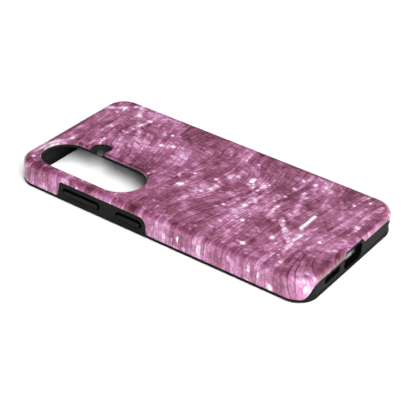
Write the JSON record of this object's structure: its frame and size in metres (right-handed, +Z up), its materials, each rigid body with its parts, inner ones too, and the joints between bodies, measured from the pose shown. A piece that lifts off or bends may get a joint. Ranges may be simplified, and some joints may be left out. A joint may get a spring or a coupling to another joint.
{
  "type": "phone case",
  "caption": "Two-layer protective phone case: a glossy printed hard shell over a soft black liner, with camera, flash, port and speaker openings and button covers.",
  "frame": {"origin": "centre of the footprint, on the plane that the front lip lies on with the back facing up", "axes": "+X towards the end with the charging port, +Y towards the plain long side away from the buttons, +Z up, out through the back"},
  "size_m": [0.1528, 0.0772, 0.0116],
  "materials": {
    "printed_shell": "hard gloss plastic with a pink and plum tile print under clear lacquer",
    "soft_liner": "soft black elastomer with a fine satin mould texture",
    "soft_button": "soft black elastomer, a little smoother than the liner",
    "silver_mark": "thin satin silver foil"
  },
  "bodies": {
    "liner": {"inner_liner": "soft_liner"},
    "shell": {"outer_shell": "printed_shell"},
    "volume_key": {"volume_button": "soft_button"},
    "power_key": {"power_button": "soft_button"}
  },
  "joints": [
    {"name": "shell_lift", "type": "slide", "parent": "liner", "child": "shell", "axis": [0, 0, 1], "range_m": [0, 0.025]},
    {"name": "volume_rock", "type": "hinge", "parent": "liner", "child": "volume_key", "pos_m": [-0.0388, -0.0359, 0.0048], "axis": [0, 0, 1], "range_deg": [-1.2, 1.2], "stiffness_Nm_per_rad": 0.7},
    {"name": "power_press", "type": "slide", "parent": "liner", "child": "power_key", "axis": [0, 1, 0], "range_m": [0, 0.0004], "stiffness_N_per_m": 3750}
  ]
}
